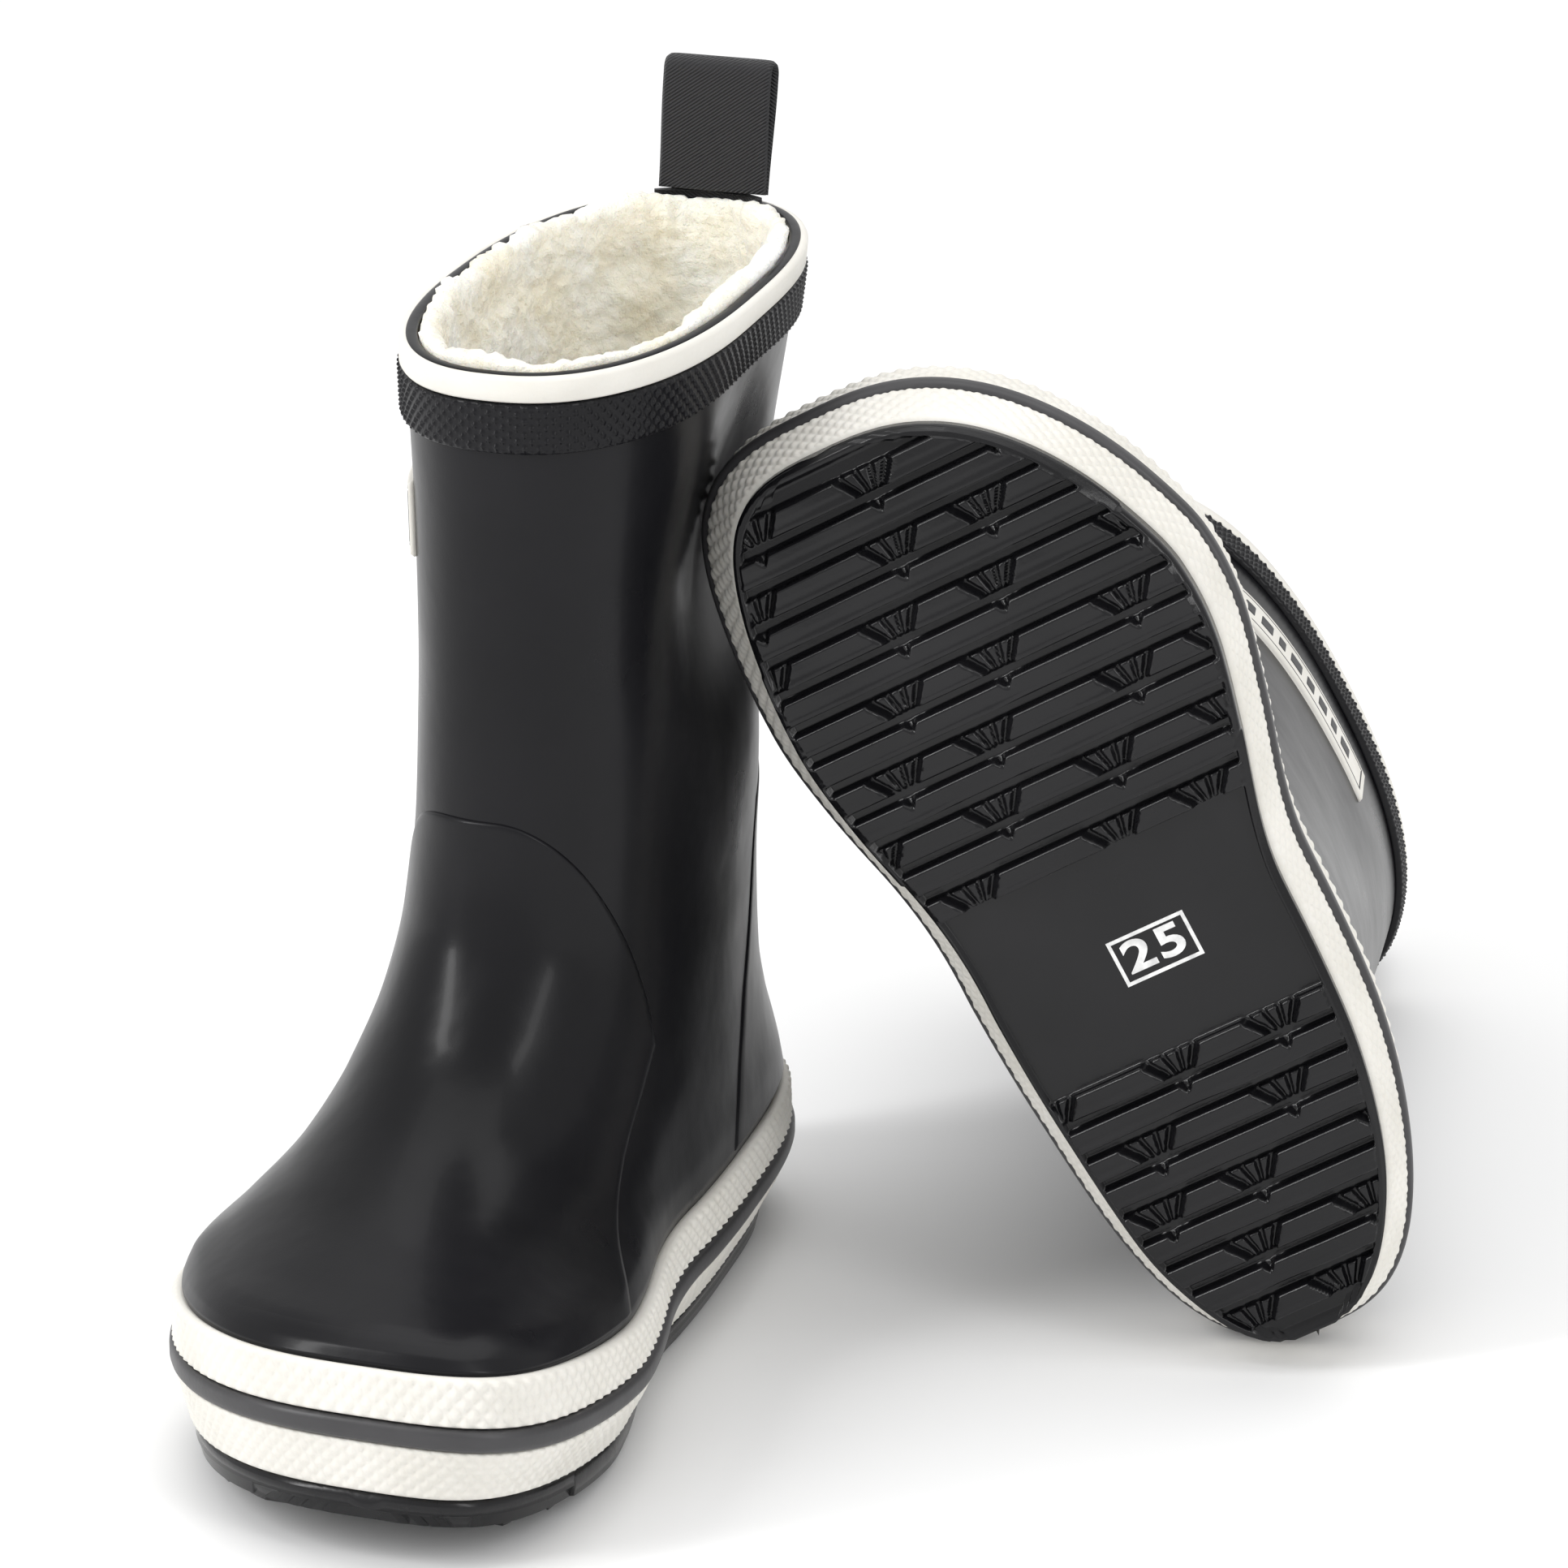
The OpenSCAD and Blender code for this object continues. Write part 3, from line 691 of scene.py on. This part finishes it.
def outsole_grid():
    """Rows across the sole from toe to heel; each row runs along the tread from one edge
    to the other and back over the flat top."""
    step = np.array([-2.9, -2.5, -2.2, -2.0, -1.8, -1.4, -0.95, -0.5, 0, 0.5, 0.95, 1.4,
                     1.8, 2.0, 2.2, 2.5])
    at_bars = (BARS[:, None] + step).ravel()
    waist = np.linspace(-5, 28, 26)
    toe = SOLE[0] + EDGE + np.r_[0.02, 0.15, 0.4, 0.8, 1.3, 1.9, 2.6]
    heel = SOLE[1] - EDGE - np.r_[3.9, 3.2, 2.4, 1.7, 1.1, 0.6, 0.25, 0.05]
    y = np.unique(np.r_[toe, at_bars, waist, heel])[:, None]
    left_edge, right_edge = sole_edge(y, EDGE, -1), sole_edge(y, EDGE, 1)
    u = np.r_[0, 0.004, 0.012, np.linspace(0.02, 0.98, 210), 0.988, 0.996, 1][None, :]
    x = left_edge + (right_edge - left_edge) * u
    yy = y + 0 * x
    from_bar = yy[..., None] - BARS
    k = np.argmin(np.abs(from_bar), -1)
    d = np.take_along_axis(from_bar, k[..., None], -1)[..., 0]
    inner = (sole_edge(y, EDGE + 1.3, -1) < x) & (x < sole_edge(y, EDGE + 1.3, 1))
    bar = ease((2.2 - np.abs(d)) / 0.4) * inner * (np.abs(yy) < 84)
    worn = value_noise(np.stack([x, 1.7 * BARS[k], 0 * x], -1), 9, 31)
    slope = (0.3 + 0.35 * worn) * (d + 1.9) / 3.8 + 0.16 * (np.abs(d - 0.4) < 0.25)
    height = DEPTH * (1 - bar) + bar * slope
    on_tread = ease((yy - 29) / 0.5) + ease((-7.5 - yy) / 0.5)
    height = np.minimum(height + fan_cut(x, yy) * bar, DEPTH + 0.2 * on_tread)
    rim = np.minimum(u, 1 - u) < 0.006
    height = np.where(rim, DEPTH + 0.3, height)
    edged = (sole_edge(y, EDGE + 0.25, -1) < x) & (x < sole_edge(y, EDGE + 0.25, 1))
    height = np.where(edged & ~inner, np.minimum(height, 0.9), height)
    lower = np.stack([x, yy, height + toe_rise(yy)], -1)
    v = np.array([1, 0.66, 0.33, 0])[None, :]
    xt = left_edge + (right_edge - left_edge) * v
    upper = np.stack([xt, y + 0 * xt, SOLE_TOP + toe_rise(y) + 0 * xt], -1)
    return np.concatenate([lower, upper], 1)


sole_points = outsole_grid()
for side in ("right", "left"):
    put_on(skin("outsole", side, sole_points), side, "outsole", sole_rubber)

# ---------------------------------------------------------------------------------------
# Size mark: the size number in a frame, printed in white on the smooth waist, 0.2 mm thick.
print_white, tree, shader = new_material("size_print", (0.8, 0.8, 0.8), 0.5)
mottled(tree, shader, 500, (0.6, 0.6, 0.6), (0.85, 0.85, 0.84))
MARK_AT = (-6.3, 12.2)


def number_outline(text, size):
    """Flat mesh of a generic number, centred, in mm: its points and its faces."""
    curve = bpy.data.curves.new("number", "FONT")
    curve.body = text
    curve.size = size
    curve.align_x = "CENTER"
    curve.align_y = "CENTER"
    curve.offset = 0.17
    curve.space_character = 1.12
    curve.extrude = 0.11
    curve.resolution_u = 6
    thing = bpy.data.objects.new("number", curve)
    mesh = bpy.data.meshes.new_from_object(thing)
    p = np.empty(len(mesh.vertices) * 3)
    mesh.vertices.foreach_get("co", p)
    faces = np.full((len(mesh.polygons), 4), -1)
    for k, face in enumerate(mesh.polygons):
        corner = list(face.vertices)[:4]
        faces[k, :len(corner)] = corner
    p = p.reshape(-1, 3) * [1.42, 1.04, 1]
    bpy.data.objects.remove(thing)
    bpy.data.meshes.remove(mesh)
    return p, faces


def frame_outline(w, h, line, thick):
    """Rectangular ring as a closed box section: outer and inner corners, low and high."""
    square = np.array([[-1, -1], [1, -1], [1, 1], [-1, 1]], float)
    outer = square * [w / 2, h / 2]
    inner = square * [w / 2 - line, h / 2 - line]
    p = np.concatenate([np.c_[outer, np.full(4, -thick)], np.c_[inner, np.full(4, -thick)],
                        np.c_[inner, np.full(4, thick)], np.c_[outer, np.full(4, thick)]])
    i = np.arange(4)
    j = (i + 1) % 4
    faces = np.concatenate([np.stack([4 * k + i, 4 * ((k + 1) % 4) + i,
                                      4 * ((k + 1) % 4) + j, 4 * k + j], -1)
                            for k in range(4)])
    return p, faces


for side in ("right", "left"):
    hand = 1 if side == "right" else -1
    for name, (p, faces) in (("size_number", number_outline("25", 7.4)),
                             ("size_frame", frame_outline(14.1, 8.4, 0.62, 0.11))):
        q = np.stack([MARK_AT[0] + hand * p[:, 0], MARK_AT[1] - p[:, 1],
                      DEPTH - 0.03 - p[:, 2]], -1)
        if hand < 0:
            faces = np.where(faces[:, 3:] < 0,
                             np.c_[faces[:, 2::-1], faces[:, 3:]], faces[:, ::-1])
        thing = build(name, side, q, faces)
        thing.data.polygons.foreach_set("use_smooth",
                                        np.zeros(len(thing.data.polygons), bool))
        put_on(thing, side, None, print_white)

# ---------------------------------------------------------------------------------------
# Side badge: a cream rubber plate on the outer side of the shaft under the band, with a
# thin dark frame and a row of plain dark bars.
badge_dark, tree, shader = new_material("badge_print", (0.03, 0.03, 0.032), 0.5)
mottled(tree, shader, 80, (0.025, 0.025, 0.027), (0.04, 0.04, 0.043))


def outer_side_angle(y, z):
    """Angle on the outer side at which the shaft's section reaches y."""
    front, back, _, _, square, _, _ = shaft(z)
    c = np.clip((y - (front + back) / 2) / ((back - front) / 2), -1, 1)
    return -np.arccos(signed_power(c, square / 2))


def badge_plate(side, name, y0, y1, z0, z1, low, high):
    """Plate on the shaft's outer side with edges rounded over 0.4 mm: each row runs along
    the outside from front to back and returns underneath."""
    v = np.r_[0, 0.03, 0.08, np.linspace(0.15, 0.85, 8), 0.92, 0.97, 1][:, None]
    n = max(4, int((y1 - y0) / 1.2))
    u = np.r_[0, 0.3 / (y1 - y0), np.linspace(0.5 / (y1 - y0), 1 - 0.5 / (y1 - y0), n),
              1 - 0.3 / (y1 - y0), 1][None, :]
    y = y0 + (y1 - y0) * u + 0 * v
    z = z0 + (z1 - z0) * v + 0 * u
    border = np.minimum(np.minimum(y - y0, y1 - y), np.minimum(z - z0, z1 - z))
    g = low + (high - low) * np.sqrt(ease(border / 0.4) * 0.8 + 0.2)
    a = outer_side_angle(y, z)
    out = around(shaft(z), z, a, g, 0)
    under = around(shaft(z), z, a, low - 0.5, 0)
    return skin(name, side, np.concatenate([out[:, ::-1], under], 1))


for side in ("right", "left"):
    put_on(badge_plate(side, "side_badge", -1, 46, 140.2, 153, 0, 0.9), side, "side_badge",
           cream_rubber)
    lines = [("badge_line_low", 0.6, 44.4, 141.4, 142.0),
             ("badge_line_high", 0.6, 44.4, 151.2, 151.8),
             ("badge_line_front", 0.6, 1.3, 142.0, 151.2),
             ("badge_line_back", 43.7, 44.4, 142.0, 151.2)]
    start = 4.5
    for k, width in enumerate((2.6, 3.4, 2.2, 3.8, 2.8, 3.2, 2.4, 3.6)):
        lines.append((f"badge_bar_{k + 1}", start, start + width, 144.3, 149.1))
        start += width + 1.5
    for name, y0, y1, z0, z1 in lines:
        put_on(badge_plate(side, name, y0, y1, z0, z1, 0.75, 1.0), side, None,
               badge_dark)

# ---------------------------------------------------------------------------------------
# Pull loop: black ribbed webbing 19.5 mm wide and 1.1 mm thick, folded over into a loop;
# its tail is bonded between the lining and the shell at the back of the rim.
webbing, tree, shader = new_material("black_webbing", (0.03, 0.03, 0.033), 0.45)
place = add(tree, "ShaderNodeUVMap", uv_map="run")
split = add(tree, "ShaderNodeSeparateXYZ", [("Vector", place.outputs["UV"])])
along = add(tree, "ShaderNodeMath", [(0, split.outputs["Y"])], operation="MULTIPLY")
along.inputs[1].default_value = 2 * math.pi / 0.62
across = add(tree, "ShaderNodeMath", [(0, split.outputs["X"])], operation="MULTIPLY")
across.inputs[1].default_value = 2 * math.pi / 0.9
twill = add(tree, "ShaderNodeMath", [(0, along.outputs[0]), (1, across.outputs[0])],
            operation="ADD")
wave = add(tree, "ShaderNodeMath", [(0, twill.outputs[0])], operation="SINE")
weave = add(tree, "ShaderNodeMapRange", [("Value", wave.outputs[0])])
weave.inputs["From Min"].default_value = -1
bump = add(tree, "ShaderNodeBump", [("Height", weave.outputs["Result"])])
bump.inputs["Distance"].default_value = 0.0002
grain(tree, shader, 4000, 3, 0.00008, bump)
# Base colour follows the weave's bump height, darker in the grooves than on the ribs: painted
# shade in the grooves on the webbing's own black.
groove_shaded_tone = add(tree, "ShaderNodeMix", [("Factor", weave.outputs["Result"])],
             data_type="RGBA")
groove_shaded_tone.inputs[6].default_value = (0.005, 0.005, 0.006, 1)
groove_shaded_tone.inputs[7].default_value = (0.022, 0.022, 0.025, 1)
tree.links.new(groove_shaded_tone.outputs[2], shader.inputs["Base Color"])
shader.inputs["Sheen Weight"].default_value = 0.12
shader.inputs["Sheen Roughness"].default_value = 0.3
shader.inputs["Specular IOR Level"].default_value = 0.45
WEB = 1.1
WEB_WIDTH = 19.5
RIB = 0.62           # from one rib of the webbing to the next
ROOT = np.array([4.1, 84.2, RIM + 4.2])
LEAN = {"right": math.radians(12), "left": math.radians(-6)}


def loop_path():
    """Middle line of the loop seen from the side: up the front ply, round the top on a
    half circle and down the back ply, the plies drawing together at the root."""
    top = 19.0
    half = np.linspace(-math.pi * 0.04, math.pi * 1.04, 30)
    rise_by = np.linspace(0, 1, 50)[:, None]
    bow = 0.62 + 1.28 * ease(rise_by * 1.1)
    up = np.c_[bow, -1.1 + (top + 1.1) * rise_by]
    over = np.c_[1.9 * np.cos(half), top + 0.25 + 2.05 * np.sin(half)]
    down = up[::-1] * [-1, 1]
    return np.concatenate([up[:-1], over, down[1:]])


def webbing_ply(path, width, thick, x_at):
    """Flat band along a path: at each point a closed outline across the width with
    rounded selvedges; uv runs across and along in mm."""
    step = np.gradient(path, axis=0)
    step /= np.linalg.norm(step, axis=1, keepdims=True)
    normal = np.c_[-step[:, 1], step[:, 0]]
    w = np.linspace(-1, 1, 34)
    ease_edge = (1 - np.abs(w) ** 14) ** 0.5
    across_at = np.r_[w, w[::-1][1:-1]] * width / 2
    out = np.r_[ease_edge, -ease_edge[::-1][1:-1]] * thick / 2
    run = np.r_[0, np.cumsum(np.linalg.norm(np.diff(path, axis=0), axis=1))]
    rib = 0.035 * np.sin(2 * np.pi * run / RIB)[:, None] * np.sign(out)
    out = out + rib
    yz = path[:, None, :] + normal[:, None, :] * out[..., None]
    x = x_at + across_at[None, :] + 0 * run[:, None]
    u = np.r_[across_at, across_at[0]]
    return np.concatenate([x[..., None], yz], -1), (u, run)


for side in ("right", "left"):
    grid, run = webbing_ply(loop_path(), WEB_WIDTH, WEB, ROOT[0])
    lean = LEAN[side]
    y, z = grid[..., 1].copy(), grid[..., 2].copy()
    grid[..., 1] = ROOT[1] + y * math.cos(lean) + z * math.sin(lean)
    grid[..., 2] = ROOT[2] - y * math.sin(lean) + z * math.cos(lean)
    loop = skin("pull_loop", side, grid, run=run)
    loop.data.materials.append(webbing)
    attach(loop, f"{side}_pull_loop")
    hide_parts(f"{side}_pull_loop")

    a = np.radians(np.linspace(-20, 20, 40))
    z = np.linspace(160, RIM + 1.4, 40)[:, None]
    s = np.minimum(z, RIM)
    rib = 0.03 * np.sin(2 * np.pi * z / RIB)
    outside = around(shaft(s), z, a, -SHELL_WALL - 0.2 + rib, 0)
    inside = around(shaft(s), z, a, -SHELL_WALL - 1.25 - rib, 0)
    grid = np.concatenate([outside, inside[:, ::-1]], 1)
    u = np.r_[np.linspace(0, WEB_WIDTH, 40), np.linspace(WEB_WIDTH, 0, 40), 0]
    tail = skin("loop_tail", side, grid, run=(u, z[:, 0]))
    put_on(tail, side, "loop_tail", webbing)

# ---------------------------------------------------------------------------------------
# Floor and light: a pale sweep under broad soft lights from the left, right and above.
floor_mesh = bpy.data.meshes.new("floor")
floor_mesh.from_pydata([(-8, -8, 0), (8, -8, 0), (8, 8, 0), (-8, 8, 0)], [], [(0, 1, 2, 3)])
floor = bpy.data.objects.new("floor", floor_mesh)
bpy.context.scene.collection.objects.link(floor)
floor_finish, tree, shader = new_material("pale_floor", (0.9, 0.9, 0.9), 0.8)
shader.inputs["Specular IOR Level"].default_value = 0.1
floor_mesh.materials.append(floor_finish)

world = bpy.data.worlds.new("studio")
bpy.context.scene.world = world
world.use_nodes = True
world.node_tree.nodes["Background"].inputs["Color"].default_value = (1, 1, 1, 1)
world.node_tree.nodes["Background"].inputs["Strength"].default_value = 0.8


def softbox(name, at, size, power, aim=(0.04, 0.0, 0.08)):
    """Area light of a width and height in metres, turned to face the aim."""
    lamp = bpy.data.lights.new(name, "AREA")
    lamp.shape = "RECTANGLE"
    lamp.size, lamp.size_y = size
    lamp.energy = power
    thing = bpy.data.objects.new(name, lamp)
    bpy.context.scene.collection.objects.link(thing)
    thing.location = at
    away = np.array(at) - np.array(aim)
    flat = math.hypot(away[0], away[1])
    thing.rotation_euler = (math.atan2(flat, away[2]), 0, math.atan2(away[0], -away[1]))
    return thing


softbox("key_softbox", (-0.9, -0.9, 0.9), (0.24, 1.2), 12)
softbox("fill_softbox", (1.1, -0.6, 0.8), (0.2, 1.1), 4.5)
softbox("top_softbox", (0.1, 0.5, 2.6), (2.4, 2.4), 24, (0.1, 0.5, 0))
bpy.context.scene.view_settings.view_transform = "Standard"
